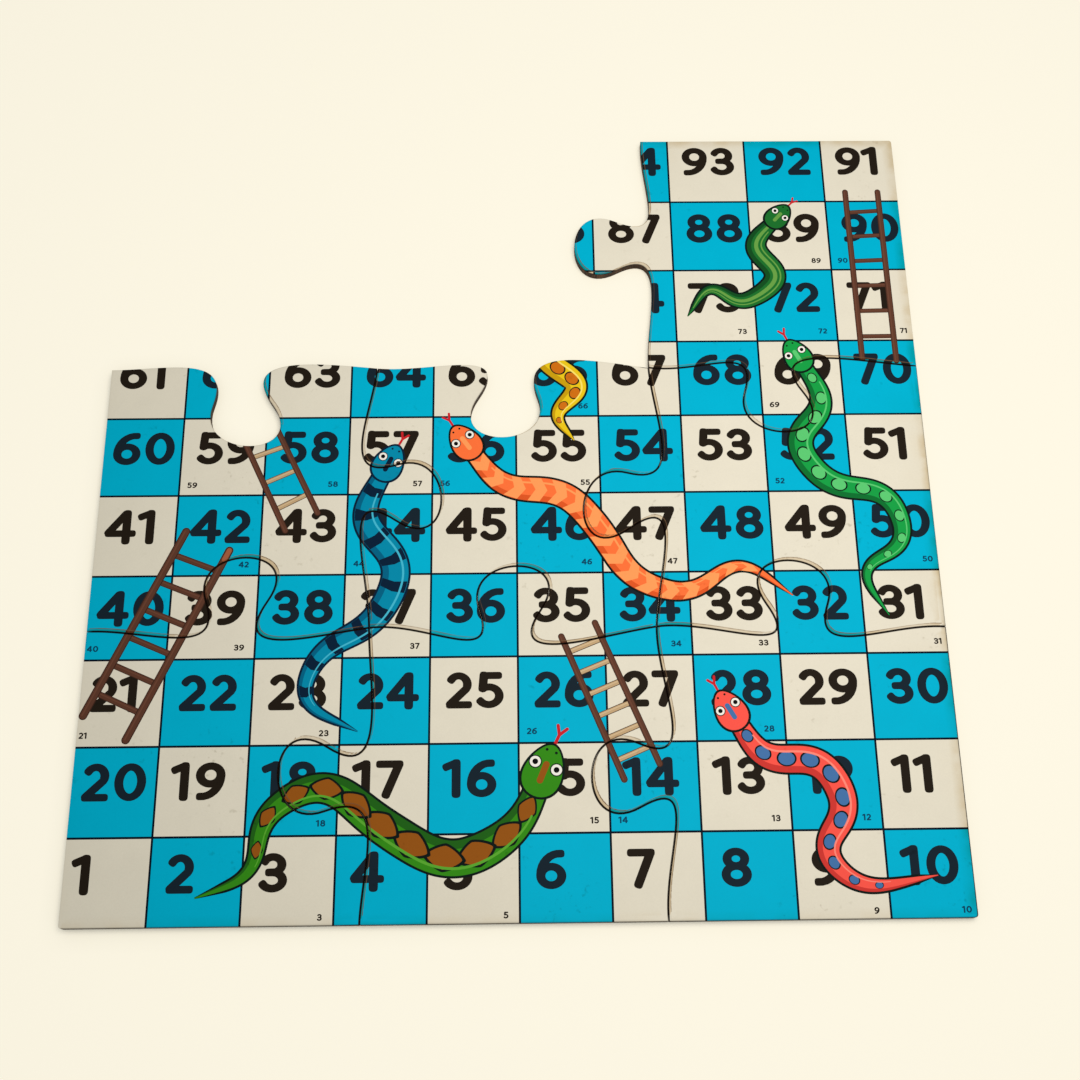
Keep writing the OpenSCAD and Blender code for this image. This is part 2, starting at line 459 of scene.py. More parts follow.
@dataclass(frozen=True)
class Snake:
    """A snake seen from above along a smooth spine, head first, in squares.

    Places along it are shares of its length, widths are shares of its half width there, and the parts of
    its head are in half widths of the head, ahead of its middle and to one side.
    """

    spine: tuple[Pair, ...]
    half_width: float
    skin: SnakeSkin
    head: bool = True
    path: Array = field(init=False, repr=False)
    half: Array = field(init=False, repr=False)
    side: Array = field(init=False, repr=False)

    POINTS, ROUNDING = 170, 8
    OUTLINE, OUTLINE_TAPER = 0.026, (14, 0.1)
    NECK, NECK_END = 0.62, 0.24
    TAIL_START, TAIL_POWER, TAIL_TIP = 0.4, 1.5, 0.03
    BODY, SHADE = (-1, 1), (-1, -0.52)
    SHINE, SHINE_SPAN = (0.5, 0.66), (0.085, 0.86)
    STRIPE, STRIPE_SPAN = (-0.2, 0.24), (0.05, 0.95)
    MARK_RIM, LEAST_MARK, MARK_ENDS = 1.22, 0.3, 1.5
    DIAMOND, DIAMOND_POWER = (1.05, 0.68), 1.5
    SPOT, SPOT_SHIFT = (0.62, 0.5), 0.05
    BANDS = {Motif.CHEVRON: (0.26, 0.275), Motif.RING: (0.14, 0.06)}
    BAND_WIDTH = 0.98
    HEAD, HEAD_AHEAD, HEAD_LENGTH, SNOUT, HEAD_STEP = 1.12, 0.35, 1.42, 0.24, 10
    CROWN, CROWN_PEN = ((-0.55, 0), (0.35, 0)), 0.17
    EYE, EYE_RINGS = (0.28, 0.6), (0.35, 0.29, 0.15)
    NOSTRIL, NOSTRIL_RING = (1.1, 0.26), 0.075
    TONGUE_PEN, FORK = 0.085, (2.05, 0.05)
    TONGUE_ENDS = ((1.2, 0), (2.5, 0.32), (2.5, -0.2))

    def __post_init__(self) -> None:
        """Work out the spine and the half width: a neck that swells, then a tail that thins to a point."""
        path = rounded(spaced(smooth_path(line(*self.spine)), self.POINTS), self.ROUNDING)
        t = np.linspace(0, 1, self.POINTS)
        neck = self.NECK + (1 - self.NECK) * ease(t / self.NECK_END) if self.head else np.ones_like(t)
        behind = np.clip((t - self.TAIL_START) / (1 - self.TAIL_START), 0, 1)
        tail = 1 - (1 - self.TAIL_TIP) * behind ** self.TAIL_POWER
        object.__setattr__(self, "path", path)
        object.__setattr__(self, "half", self.half_width * neck * tail)
        object.__setattr__(self, "side", left_of(np.gradient(path, axis=0)))

    def across(self, share: float) -> Array:
        """The line along the body at a share of its half width, positive to the left."""
        return self.path + (share * self.half)[:, None] * self.side

    def strip(self, widths: Pair, span: Pair = (0, 1)) -> Array:
        """Closed strip along a span of the body, between two shares of its half width."""
        first, last = (int(share * self.POINTS) for share in span)
        return np.vstack([self.across(widths[1])[first:last], self.across(widths[0])[first:last][::-1]])

    def patches(self) -> list[Patch]:
        """Draw the snake: tongue, dark outline, body, shaded side, marks, lit streak and head.

        Returns:
            The patches in order, from below.
        """
        skin = self.skin
        taper = np.minimum(1, np.linspace(*self.OUTLINE_TAPER, self.POINTS))
        rim = (self.half + self.OUTLINE * taper)[:, None] * self.side
        return [
            *(self.tongue() if self.head else ()),
            Patch(skin.outline, (np.vstack([self.path + rim, (self.path - rim)[::-1]]),)),
            Patch(skin.body, (self.strip(self.BODY),)),
            Patch(skin.shade, (self.strip(self.SHADE),)),
            *self.back_marks(),
            Patch(skin.shine, (self.strip(self.SHINE, self.SHINE_SPAN),)),
            *(self.head_patches() if self.head else ()),
        ]

    def back_marks(self) -> list[Patch]:
        """Draw the marks along the back, evenly spaced and as wide as the body lets them be.

        Returns:
            The patches in order, from below.
        """
        skin = self.skin
        if skin.motif is Motif.STRIPE:
            return [Patch(skin.mark, (self.strip(self.STRIPE, self.STRIPE_SPAN),))]
        step = self.POINTS / (skin.marks + self.MARK_ENDS)
        places = np.round(step * (np.arange(skin.marks) + 1)).astype(int)
        return [
            Patch(ink, (self.mark_loop(at, grow, step),))
            for at in places[self.half[places] > self.LEAST_MARK * self.half_width]
            for ink, grow in ((skin.outline, self.MARK_RIM), (skin.mark, 1.0))
        ]

    def mark_loop(self, at: int, grow: float, step: float) -> Array:
        """Outline of one mark, sized by the body's half width there.

        Args:
            at: Index along the spine.
            grow: Size of the mark, 1 without its rim.
            step: Points along the spine between marks.

        Returns:
            The outline's points in order.
        """
        motif, side = self.skin.motif, self.side[at]
        if motif in self.BANDS:
            reach, lean = np.array(self.BANDS[motif]) * step
            low, high = int(max(at - grow * reach, 0)), int(min(at + grow * reach, self.POINTS - 1))
            back, front = np.minimum([low + round(lean), high + round(lean)], self.POINTS - 1)
            left, right = self.across(self.BAND_WIDTH), self.across(-self.BAND_WIDTH)
            return np.stack([
                left[low], self.path[back], right[low], right[high], self.path[front], left[high]])
        if motif is Motif.DIAMOND:
            turn = ellipse((0, 0), (1, 1))
            shape = np.sign(turn) * np.abs(turn) ** self.DIAMOND_POWER * self.DIAMOND
        else:
            shape = ellipse((0, self.SPOT_SHIFT), self.SPOT)
        run = (side[1], -side[0])
        return self.path[at] + grow * self.half[at] * (shape @ np.stack([run, side]))

    def on_head(self, points: Array) -> Array:
        """Places in squares of points on the head, given ahead of its middle and to one side."""
        side = self.side[0]
        axes = self.HEAD * self.half_width * np.stack([(-side[1], side[0]), side])
        return self.path[0] + (points + (self.HEAD_AHEAD, 0)) @ axes

    def head_loop(self, grow: float) -> Array:
        """Head outline: an ellipse along the spine, narrowed towards the snout.

        Args:
            grow: Width added all round, in squares.

        Returns:
            The outline's points in order.
        """
        more = grow / (self.HEAD * self.half_width)
        angles = np.radians(np.arange(0, 360, self.HEAD_STEP))
        ahead, aside = np.cos(angles), np.sin(angles)
        width = (1 + more) * (1 - self.SNOUT * ahead)
        return self.on_head(np.column_stack([(self.HEAD_LENGTH + more) * ahead, width * aside]))

    def head_patches(self) -> list[Patch]:
        """Draw the head from above, with its crown, both eyes and the nostrils.

        Returns:
            The patches in order, from below.
        """
        skin = self.skin
        crown = self.on_head(pen_stroke(line(*self.CROWN), self.CROWN_PEN))
        rings = [(self.EYE, radius, ink) for radius, ink in zip(
            self.EYE_RINGS, (skin.outline, Ink.EYE_WHITE, Ink.EYE_BLACK))]
        rings.append((self.NOSTRIL, self.NOSTRIL_RING, skin.outline))
        return [
            Patch(skin.outline, (self.head_loop(self.OUTLINE),)),
            Patch(skin.body, (self.head_loop(0),)),
            Patch(skin.mark, (crown,)),
            *(Patch(ink, (self.on_head(ellipse((at[0], way * at[1]), (radius, radius))),))
              for way in (-1, 1) for at, radius, ink in rings),
        ]

    def tongue(self) -> list[Patch]:
        """Draw a forked tongue ahead of the snout: a stem and two prongs from the fork."""
        paths = [pen_stroke(line(self.FORK, end), self.TONGUE_PEN) for end in self.TONGUE_ENDS]
        return [Patch(Ink.TONGUE, (self.on_head(path),)) for path in paths]


@dataclass(frozen=True)
class Track:
    """The chequered, numbered track and where it lies on the board."""

    pitch: float = 30.4 * MM
    corner: Pair = (-152.15 * MM, -151.5 * MM)
    squares: int = 10
    line_width: float = 0.024
    numerals: Numerals = Numerals(height=0.415, pen=(0.242, 0.202), start=0.158, baseline=0.403)
    small_left: Numerals = Numerals(height=0.07, pen=(0.25, 0.21), start=0.09, baseline=0.1, square_ends=0)
    small_right: Numerals = replace(small_left, start=0.88, from_right=True)
    on_left: frozenset[int] = frozenset((14, 21, 26, 40, 59, 90))
    large_only: frozenset[int] = frozenset((27, 43, 70))

    def number(self, column: int, row: int) -> int:
        """Number of a square: rows run to the right and to the left by turns."""
        return self.squares * row + (column + 1 if row % 2 == 0 else self.squares - column)

    def to_squares(self, places: Array) -> Array:
        """Board places in metres as places in squares."""
        return (places - np.asarray(self.corner)) / self.pitch

    def to_metres(self, places: Array) -> Array:
        """Places in squares as board places in metres."""
        return np.asarray(self.corner) + self.pitch * places

    def is_cream(self, column: Array, row: Array) -> Array:
        """Whether squares are cream; the rest are blue."""
        return (column + row) % 2 == 0

    def ground(self, points: Array) -> Array:
        """Linear colour of the bare track at points: chequered squares with thin dark lines between.

        Args:
            points: Points in squares.

        Returns:
            One colour row for each point.
        """
        cell = np.floor(points).astype(int)
        cream = self.is_cream(cell[:, 0], cell[:, 1])[:, None]
        colours = np.where(cream, linear(Ink.CREAM.value), linear(Ink.BLUE.value))
        on_line = (np.abs(points - np.round(points)) < self.line_width / 2).any(axis=1)[:, None]
        return np.where(on_line, linear(Ink.GRID.value), colours)

    def number_patches(self, art: list[Patch]) -> list[Patch]:
        """Draw all numbers, with a small copy in a free corner of most squares whose number is covered.

        Args:
            art: Patches that are printed over the numbers.

        Returns:
            The patches of all numbers.
        """
        drawn = []
        for row in range(self.squares):
            for column in range(self.squares):
                square, number = (column, row), self.number(column, row)
                ink = small_ink = Ink.NUMBER_ON_CREAM
                if not self.is_cream(column, row):
                    ink, small_ink = Ink.NUMBER_ON_BLUE, Ink.SMALL_ON_BLUE
                large = self.numerals.patches(number, square, ink)
                drawn += large
                if number in self.on_left:
                    drawn += self.small_left.patches(number, square, small_ink)
                elif number not in self.large_only and self.covered(large, art):
                    styles = (self.small_right, self.small_left)
                    choices = [style.patches(number, square, small_ink) for style in styles]
                    drawn += next((small for small in choices if not self.covered(small, art)), [])
        return drawn

    @staticmethod
    def covered(patches: list[Patch], art: list[Patch]) -> bool:
        """Whether any point of the patches' outlines lies on the art."""
        points = np.vstack([loop for patch in patches for loop in patch.loops])
        return any(patch.holds(points).any() for patch in art)


LADDERS = (
    Ladder(((0.12, 2.36), (1.12, 4.55)), ((0.62, 2.08), (1.64, 4.31)), 6, (0.12, 0.87), 0.097,
           rung_share=0.78, rung_lean=0.016, pale_tip=True),
    Ladder(((2.28, 4.55), (1.65, 5.88)), ((2.65, 4.77), (2.05, 6.0)), 4, (0.2, 0.95), 0.074,
           rung_share=0.9, straw_rungs=True),
    Ladder(((6.17, 1.58), (5.5, 3.23)), ((6.57, 1.75), (5.89, 3.39)), 6, (0.126, 0.886), 0.076,
           rung_share=0.9, straw_rungs=True),
    Ladder(((9.28, 6.75), (9.27, 9.14)), ((9.7, 6.72), (9.69, 9.14)), 6, (0.128, 0.872), 0.076,
           rung_lean=0.012),
)

SNAKES = (
    Snake(((5.25, 1.62), (4.95, 1.05), (4.25, 0.72), (3.5, 1.1), (2.85, 1.55), (2.2, 1.2), (2.1, 0.62),
           (1.5, 0.35)), 0.19,
          SnakeSkin(Ink.LEAF, Ink.LEAF_SHADE, Ink.LEAF_SHINE, Ink.BARK, Motif.DIAMOND, 12)),
    Snake(((7.42, 2.3), (7.75, 1.82), (8.35, 1.75), (8.6, 1.25), (8.35, 0.78), (8.75, 0.4),
           (9.55, 0.5)), 0.15,
          SnakeSkin(Ink.TOMATO, Ink.TOMATO_SHADE, Ink.TOMATO_SHINE, Ink.DENIM, Motif.SPOT, 12)),
    Snake(((4.42, 5.62), (4.85, 5.1), (5.55, 5.0), (6.0, 4.5), (6.35, 3.95), (7.0, 3.75), (7.6, 4.1),
           (8.2, 3.7)), 0.15,
          SnakeSkin(Ink.ORANGE, Ink.ORANGE_SHADE, Ink.PEACH, Ink.PEACH, Motif.CHEVRON, 17)),
    Snake(((3.45, 5.35), (3.2, 4.7), (3.6, 4.1), (3.35, 3.45), (2.75, 3.05), (2.6, 2.5), (3.2, 2.15)), 0.15,
          SnakeSkin(Ink.LAGOON, Ink.LAGOON_SHADE, Ink.LAGOON_SHINE, Ink.NAVY, Motif.RING, 11, Ink.NAVY)),
    Snake(((8.5, 6.75), (8.75, 6.15), (8.4, 5.65), (8.75, 5.1), (9.4, 4.95), (9.55, 4.35), (9.05, 4.0),
           (9.3, 3.45)), 0.14,
          SnakeSkin(Ink.EMERALD, Ink.EMERALD_SHADE, Ink.EMERALD_SHINE, Ink.EMERALD_SHINE, Motif.SPOT, 14)),
    Snake(((8.35, 8.75), (8.05, 8.35), (8.3, 7.9), (7.85, 7.55), (7.45, 7.75), (7.15, 7.35)), 0.12,
          SnakeSkin(Ink.FOREST, Ink.FOREST_SHADE, Ink.MOSS, Ink.MOSS, Motif.STRIPE, 1)),
    Snake(((5.15, 7.2), (5.4, 6.75), (5.75, 6.4), (5.5, 6.02), (5.7, 5.68)), 0.14,
          SnakeSkin(Ink.LEMON, Ink.LEMON_SHADE, Ink.LEMON_SHINE, Ink.AMBER, Motif.SPOT, 7), head=False),
)


@dataclass(frozen=True)
class PrintSheet:
    """The whole printed sheet, before it is cut into tiles."""

    track: Track
    patches: tuple[Patch, ...]

    @classmethod
    def drawn(cls, track: Track) -> "PrintSheet":
        """The sheet with numbers under the ladders and snakes."""
        art = [patch for thing in (*LADDERS, *SNAKES) for patch in thing.patches()]
        return cls(track, (*track.number_patches(art), *art))

    def near(self, low: Array, high: Array) -> list[Patch]:
        """Patches whose boxes meet the box from low to high."""
        boxes = [(patch, *patch.box()) for patch in self.patches]
        return [patch for patch, least, most in boxes if (least <= high).all() and (most >= low).all()]

    def colours(self, points: Array, patches: list[Patch]) -> Array:
        """Linear colour of the print at points, with later patches over earlier ones.

        Args:
            points: Points in squares.
            patches: The patches that can lie there, from below.

        Returns:
            One colour row for each point.
        """
        found = self.track.ground(points)
        for patch in patches:
            found[patch.holds(points)] = linear(patch.ink.value)
        return found


class Tile(Enum):
    """Tiles of the board, by the name of the body each rides on."""

    BOTTOM_LEFT = "bottom_left"
    BOTTOM_MIDDLE = "bottom_middle"
    BOTTOM_RIGHT = "bottom_right"
    MIDDLE_LEFT = "middle_left"
    CENTRE = "centre"
    MIDDLE_RIGHT = "middle_right"
    TOP_RIGHT = "top_right"


@dataclass(frozen=True)
class Outline:
    """A tile's outline in metres: points and directed edges with the tile on their left."""

    points: Array
    edges: Array

    @classmethod
    def of_node(cls, node: bpy.types.Object) -> "Outline":
        """Outline of a flat node's top: the edges of its top triangles that have no twin the other way.

        Args:
            node: A plate from the frame.

        Returns:
            The outline of the plate's top.
        """
        mesh = node.data
        mesh.calc_loop_triangles()
        places = np.empty(3 * len(mesh.vertices), np.float32)
        corners = np.empty(3 * len(mesh.loop_triangles), np.int32)
        mesh.vertices.foreach_get("co", places)
        mesh.loop_triangles.foreach_get("vertices", corners)
        places, corners = places.reshape(-1, 3).astype(float), corners.reshape(-1, 3)
        top = places[:, 2].max() - CLOSE
        spots, merged = np.unique(np.round(places[:, :2], DECIMALS), axis=0, return_inverse=True)
        faces = merged.ravel()[corners[(places[corners, 2] > top).all(axis=1)]]
        return cls(*used_only(spots, rim_edges(faces)))

    def tails(self) -> Array:
        """Start of each edge."""
        return self.points[self.edges[:, 0]]

    def heads(self) -> Array:
        """End of each edge."""
        return self.points[self.edges[:, 1]]

    def middles(self) -> Array:
        """Middle of each edge."""
        return (self.tails() + self.heads()) / 2

    def inward(self) -> Array:
        """Unit vector into the tile at each point: the mean of the left normals of its two edges."""
        normals = left_of(self.heads() - self.tails())
        total = np.zeros_like(self.points)
        np.add.at(total, self.edges[:, 0], normals)
        np.add.at(total, self.edges[:, 1], normals)
        return total / np.linalg.norm(total, axis=1, keepdims=True)


def rim_edges(faces: Array) -> Array:
    """Directed edges of triangles that no other triangle has the other way round.

    Args:
        faces: Vertex numbers of the triangles.

    Returns:
        Start and end vertex of each rim edge.
    """
    edges = faces[:, [[0, 1], [1, 2], [2, 0]]].reshape(-1, 2).astype(np.int64)
    span = edges.max() + 1
    return edges[~np.isin(edges[:, 0] * span + edges[:, 1], edges[:, 1] * span + edges[:, 0])]


def used_only(points: Array, faces: Array) -> tuple[Array, Array]:
    """Points that faces or edges use, and the faces or edges renumbered to them."""
    kept, renumbered = np.unique(faces, return_inverse=True)
    return points[kept], renumbered.reshape(faces.shape)


def triangulate(points: Array, edges: Array) -> tuple[Array, Array]:
    """Cut the plane into triangles along the given edges, by constrained Delaunay triangulation.

    Args:
        points: Places in squares.
        edges: Pairs of points that the cut has to follow; they may cross.

    Returns:
        The points, with the crossings added, and anticlockwise triangles over their whole hull.
    """
    closeness, least_turn = 1e-6, 1e-12
    spots, _, faces, *_ = delaunay_2d_cdt(points.tolist(), edges.tolist(), [], 0, closeness)
    spots, faces = np.array([spot[:] for spot in spots]), np.array(faces)
    sides = spots[faces[:, 1:]] - spots[faces[:, :1]]
    turn = sides[:, 0, 0] * sides[:, 1, 1] - sides[:, 0, 1] * sides[:, 1, 0]
    faces[turn < 0] = faces[turn < 0][:, ::-1]
    return spots, faces[np.abs(turn) > least_turn]


@dataclass(frozen=True)
class CutMarks:
    """Marks on one tile's print: laser char and painted shade along its edges, and smoke beside its cuts.

    Smoke was blown to one side of every cut between tiles. It reaches a fixed way from the cut, in zones
    that end at the given shares of that way: a tan stain, and a line of soot along its far edge. Outer and
    free edges get char and painted shade by the way they face: by a share for all, and for facing right and
    facing up; outer edges also get painted edge shade, set the same way.
    """

    outline: Outline
    others: Array
    smoke_way: Pair = (0.95 * MM, 1.15 * MM)
    smoke_shares: tuple[float, ...] = (0.66, 0.76, 0.9, 1.0)
    zone_stain: tuple[float, ...] = (1.0, 1.0, 1.0, 0.5, 0.0)
    zone_soot: tuple[float, ...] = (0.0, 0.5, 1.0, 0.4, 0.0)
    char_depth: Triple = (0.16 * MM, 0.3 * MM, 0.45 * MM)
    char_range: Pair = (0.05, 1.7)
    cut_char: float = 0.97
    free_beyond: float = 1.5 * MM
    # Char on free edges, with painted shade by the way they face
    free_char: Triple = (0.45, -0.15, -0.35)
    # Reach of the painted edge shade inside the outer edges, in three rings
    haze_depth: Triple = (1.2 * MM, 2.6 * MM, 4.4 * MM)
    outer_within: float = 0.95 * MM
    # Char on outer edges with painted shade: a share for all, for facing right and facing up, and by place
    # along the side edges
    outer_char: Triple = (0.36, 0.3, -0.26)
    outer_char_down: float = 1.0
    # Painted edge shade on outer edges: a share for all, and for facing right and facing up
    outer_haze: Triple = (0.45, 0.4, 0.2)
    board_half: float = (cad_box[1].x - cad_box[0].x) / 2

    PARALLEL = 1e-15

    def outer(self) -> Array:
        """Mask of the outline's edges that lie on the board's own edge."""
        return np.abs(self.outline.middles()).max(axis=1) > self.board_half - self.outer_within

    def cuts(self) -> tuple[Array, Array]:
        """Start and end points of the edges along cuts, run on past the board's edge where they end on it.

        Returns:
            The start points and the end points, in metres.
        """
        cut = ~self.outer()
        tails, heads = self.outline.tails()[cut], self.outline.heads()[cut]
        run = heads - tails
        run *= math.hypot(*self.smoke_way) / np.linalg.norm(run, axis=1, keepdims=True)
        edge = self.board_half - CLOSE
        first, last = (np.abs(ends).max(axis=1, keepdims=True) > edge for ends in (tails, heads))
        return tails - first * run, heads + last * run

    def guides(self) -> list[tuple[Array, Array]]:
        """Lines along which the marks change: rings inside the outline, and the cuts moved into the smoke.

        Returns:
            Points in metres and the edges between them, for each guide.
        """
        points, edges, inward = self.outline.points, self.outline.edges, self.outline.inward()
        rings = [(points + depth * inward, edges) for depth in (*self.char_depth, *self.haze_depth)]
        ends = np.vstack(self.cuts())
        pairs = np.arange(len(ends)).reshape(2, -1).T
        return rings + [(ends + share * np.asarray(self.smoke_way), pairs) for share in self.smoke_shares]

    def edge_marks(self) -> tuple[Array, Array, Array]:
        """Work out the edges' char and painted shade, by where they lie and which way they face.

        Returns:
            Each edge's char with painted shade, its painted edge shade, and from where to where its char
            fades.
        """
        middles, outer = self.outline.middles(), self.outer()
        free = np.linalg.norm(middles[:, None] - self.others, axis=2).min(axis=1) > self.free_beyond
        outward = -left_of(self.outline.heads() - self.outline.tails())
        facing = np.column_stack([np.ones(len(outward)), outward])
        # Painted shade: the char of outer and free edges is raised or lowered by the way they face
        low_right = -outward[:, 0] * middles[:, 1] / self.board_half
        outer_char = facing @ self.outer_char + self.outer_char_down * low_right
        char = np.select([outer, free], [outer_char, facing @ self.free_char], self.cut_char)
        solid, fading, soft = self.char_depth
        fade = np.where((outer | free)[:, None], (0.0, soft), (solid, fading))
        # Painted edge shade lies only on outer edges and is set by the way they face
        return char.clip(*self.char_range), np.where(outer, facing @ self.outer_haze, 0.0), fade

    def measure(self, points: Array) -> dict[str, Array]:
        """Work out the char and painted shade at points: the nearest edge's share, fading with the
        distance.

        Args:
            points: Places on the tile in metres.

        Returns:
            By name, the points' char with painted shade, and their painted edge shade.
        """
        tails, run = self.outline.tails(), self.outline.heads() - self.outline.tails()
        share = ((points[:, None] - tails) * run).sum(axis=2) / (run * run).sum(axis=1)
        nearest = tails + np.clip(share, 0, 1)[..., None] * run
        apart = np.linalg.norm(points[:, None] - nearest, axis=2)
        near = apart.min(axis=1)
        char, haze, fade = (marks[apart.argmin(axis=1)] for marks in self.edge_marks())
        return {
            "char": char * (1 - ease((near - fade[:, 0]) / (fade[:, 1] - fade[:, 0]))),
            "haze": haze * (1 - ease(near / self.haze_depth[-1])),
        }

    def smoke(self, points: Array) -> dict[str, Array]:
        """Work out the smoke at points from the share of the smoke's way back to the first cut that is met.

        Args:
            points: Places on the tile in metres, off the zones' borders.

        Returns:
            By name, how far the points are stained and sooty; both are 0 where no cut lies that way.
        """
        tails, heads = self.cuts()
        way = np.asarray(self.smoke_way)
        run, gap = heads - tails, tails - points[:, None]
        cross = run[:, 0] * way[1] - run[:, 1] * way[0]
        cross = np.where(np.abs(cross) < self.PARALLEL, self.PARALLEL, cross)
        back = -(run[:, 0] * gap[..., 1] - run[:, 1] * gap[..., 0]) / cross
        along = (way[0] * gap[..., 1] - way[1] * gap[..., 0]) / -cross
        met = (back >= 0) & (along >= 0) & (along <= 1)
        zone = np.searchsorted(self.smoke_shares, np.where(met, back, np.inf).min(axis=1))
        return {"stain": np.asarray(self.zone_stain)[zone], "soot": np.asarray(self.zone_soot)[zone]}


@dataclass
class PrintedTile:
    """The printed film of one tile: a closed thin sheet whose top is cut along every ink edge."""

    tile: Tile
    sheet: PrintSheet
    marks: CutMarks
    map_top: float = 0.1
    map_margin: float = 0.004

    def build(self) -> bpy.types.Object:
        """Make the film: inked top, cut walls and plain back, with its marks and its texture map.

        Returns:
            The new object, which rides on its tile and stands for the tile's film.
        """
        node = f"{self.tile.value}_print"
        low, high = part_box(node)
        spots, top = self.inked_top()
        rim = rim_edges(top)
        back_spots, back = self.plain_back(spots, rim)
        places = self.sheet.track.to_metres(np.vstack([spots, back_spots]))
        heights = np.repeat([high.z, low.z], [len(spots), len(back_spots)])
        under = len(spots) + np.searchsorted(np.unique(rim), rim)
        walls = np.column_stack([rim[:, ::-1], under])
        mesh = bpy.data.meshes.new(f"{node}_face")
        mesh.from_pydata(
            np.column_stack([places, heights]).tolist(), [], top.tolist() + walls.tolist() + back.tolist())
        self.put_marks(mesh, places, top)
        self.put_colours(mesh, spots, top, len(walls), len(back))
        self.put_map(mesh, places, top, len(walls), back)
        piece = bpy.data.objects.new(mesh.name, mesh)
        bpy.context.scene.collection.objects.link(piece)
        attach(piece, self.tile.value)
        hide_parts(node)
        return piece

    def inked_top(self) -> tuple[Array, Array]:
        """Cut the tile's top along its outline, the marks' guides, the track's lines and the ink edges.

        Returns:
            Points in squares and the triangles on the tile.
        """
        track, outline = self.sheet.track, self.marks.outline
        rim = track.to_squares(outline.points)
        blocks = [(rim, outline.edges)]
        blocks += [(track.to_squares(points), edges) for points, edges in self.marks.guides()]
        low, high = rim.min(axis=0), rim.max(axis=0)
        half = track.line_width / 2
        for axis in (0, 1):
            middles = np.arange(math.floor(low[axis]), math.ceil(high[axis]) + 1)
            at = np.repeat(np.concatenate([middles - half, middles + half]), 2)
            ends = np.tile([low[1 - axis] - 1, high[1 - axis] + 1], len(at) // 2)
            lines = np.column_stack([at, ends] if axis == 0 else [ends, at])
            blocks.append((lines, np.arange(len(lines)).reshape(-1, 2)))
        for loop in (loop for patch in self.sheet.near(low, high) for loop in patch.loops):
            numbers = np.arange(len(loop))
            blocks.append((loop, np.column_stack([numbers, np.roll(numbers, -1)])))
        starts = np.cumsum([0] + [len(points) for points, _ in blocks])
        points = np.vstack([points for points, _ in blocks])
        edges = np.vstack([start + edges for start, (_, edges) in zip(starts, blocks)])
        spots, faces = triangulate(points, edges)
        middles = spots[faces].mean(axis=1)
        on_tile = inside(middles, rim[outline.edges[:, 0]], rim[outline.edges[:, 1]])
        return used_only(spots, faces[on_tile])

    @staticmethod
    def plain_back(spots: Array, rim: Array) -> tuple[Array, Array]:
        """The film's back: the points of its rim, joined by as few triangles as they need.

        Args:
            spots: Points of the top in squares.
            rim: Directed edges round the top.

        Returns:
            The rim's points, in their order on the top, and downward triangles numbered after the top's.
        """
        points, edges = used_only(spots, rim)
        _, faces = triangulate(points, edges)
        middles = points[faces].mean(axis=1)
        on_tile = inside(middles, points[edges[:, 0]], points[edges[:, 1]])
        return points, len(spots) + faces[on_tile][:, ::-1]

    def put_marks(self, mesh: bpy.types.Mesh, places: Array, top: Array) -> None:
        """Store the marks: char and painted shade on the points, smoke on the faces; the back is clean.

        Args:
            mesh: The film's mesh.
            places: Board places of its points in metres.
            top: Triangles of the top, which come first, as their points do.
        """
        point_marks = self.marks.measure(places[:top.max() + 1])
        face_marks = self.marks.smoke(places[top].mean(axis=1))
        for marks, domain, count in (
            (point_marks, "POINT", len(places)), (face_marks, "FACE", len(mesh.polygons)),
        ):
            for name, values in marks.items():
                held = np.zeros(count, np.float32)
                held[:len(values)] = values
                mesh.attributes.new(name, "FLOAT", domain).data.foreach_set("value", held)

    def put_colours(self, mesh: bpy.types.Mesh, spots: Array, top: Array, walls: int, backs: int) -> None:
        """Store the ink of each face on its corners.

        Args:
            mesh: The film's mesh.
            spots: Points of the top in squares.
            top: Triangles of the top, which come first.
            walls: Number of four-sided walls, which come next.
            backs: Number of triangles on the back.
        """
        patches = self.sheet.near(spots.min(axis=0), spots.max(axis=0))
        inks = self.sheet.colours(spots[top].mean(axis=1), patches)
        corners = np.vstack([
            np.repeat(inks, 3, axis=0),
            np.tile(linear(Ink.CHAR.value), (4 * walls, 1)),
            np.tile(linear(Ink.FILM_BACK.value), (3 * backs, 1)),
        ])
        layer = mesh.attributes.new("ink", "FLOAT_COLOR", "CORNER")
        layer.data.foreach_set("color", corners.astype(np.float32).ravel())

    def put_map(self, mesh: bpy.types.Mesh, places: Array, top: Array, walls: int, back: Array) -> None:
        """Lay out the texture map: the top fills it, over a low strip for the back and the unrolled walls.

        Args:
            mesh: The film's mesh.
            places: Board places of its points in metres.
            top: Triangles of the top.
            walls: Number of four-sided walls.
            back: Triangles of the back.
        """
        margin, low = self.map_margin, places.min(axis=0)
        flat = (places - low) / (places.max(axis=0) - low).max()
        strip = self.map_top - 3 * margin
        on_top = margin + (1 - self.map_top - margin) * flat[top.ravel()] + [0, self.map_top - margin]
        on_back = margin + strip * flat[back.ravel()]
        first = np.linspace(self.map_top, 1 - margin, walls + 1)
        across = np.column_stack([first[1:], first[:-1], first[:-1], first[1:]])
        up = np.tile([strip, strip, margin, margin], (walls, 1))
        on_walls = np.stack([across, up], axis=2).reshape(-1, 2)
        layer = mesh.uv_layers.new(name="OFBake")
        layer.uv.foreach_set("vector", np.vstack([on_top, on_walls, on_back]).astype(np.float32).ravel())


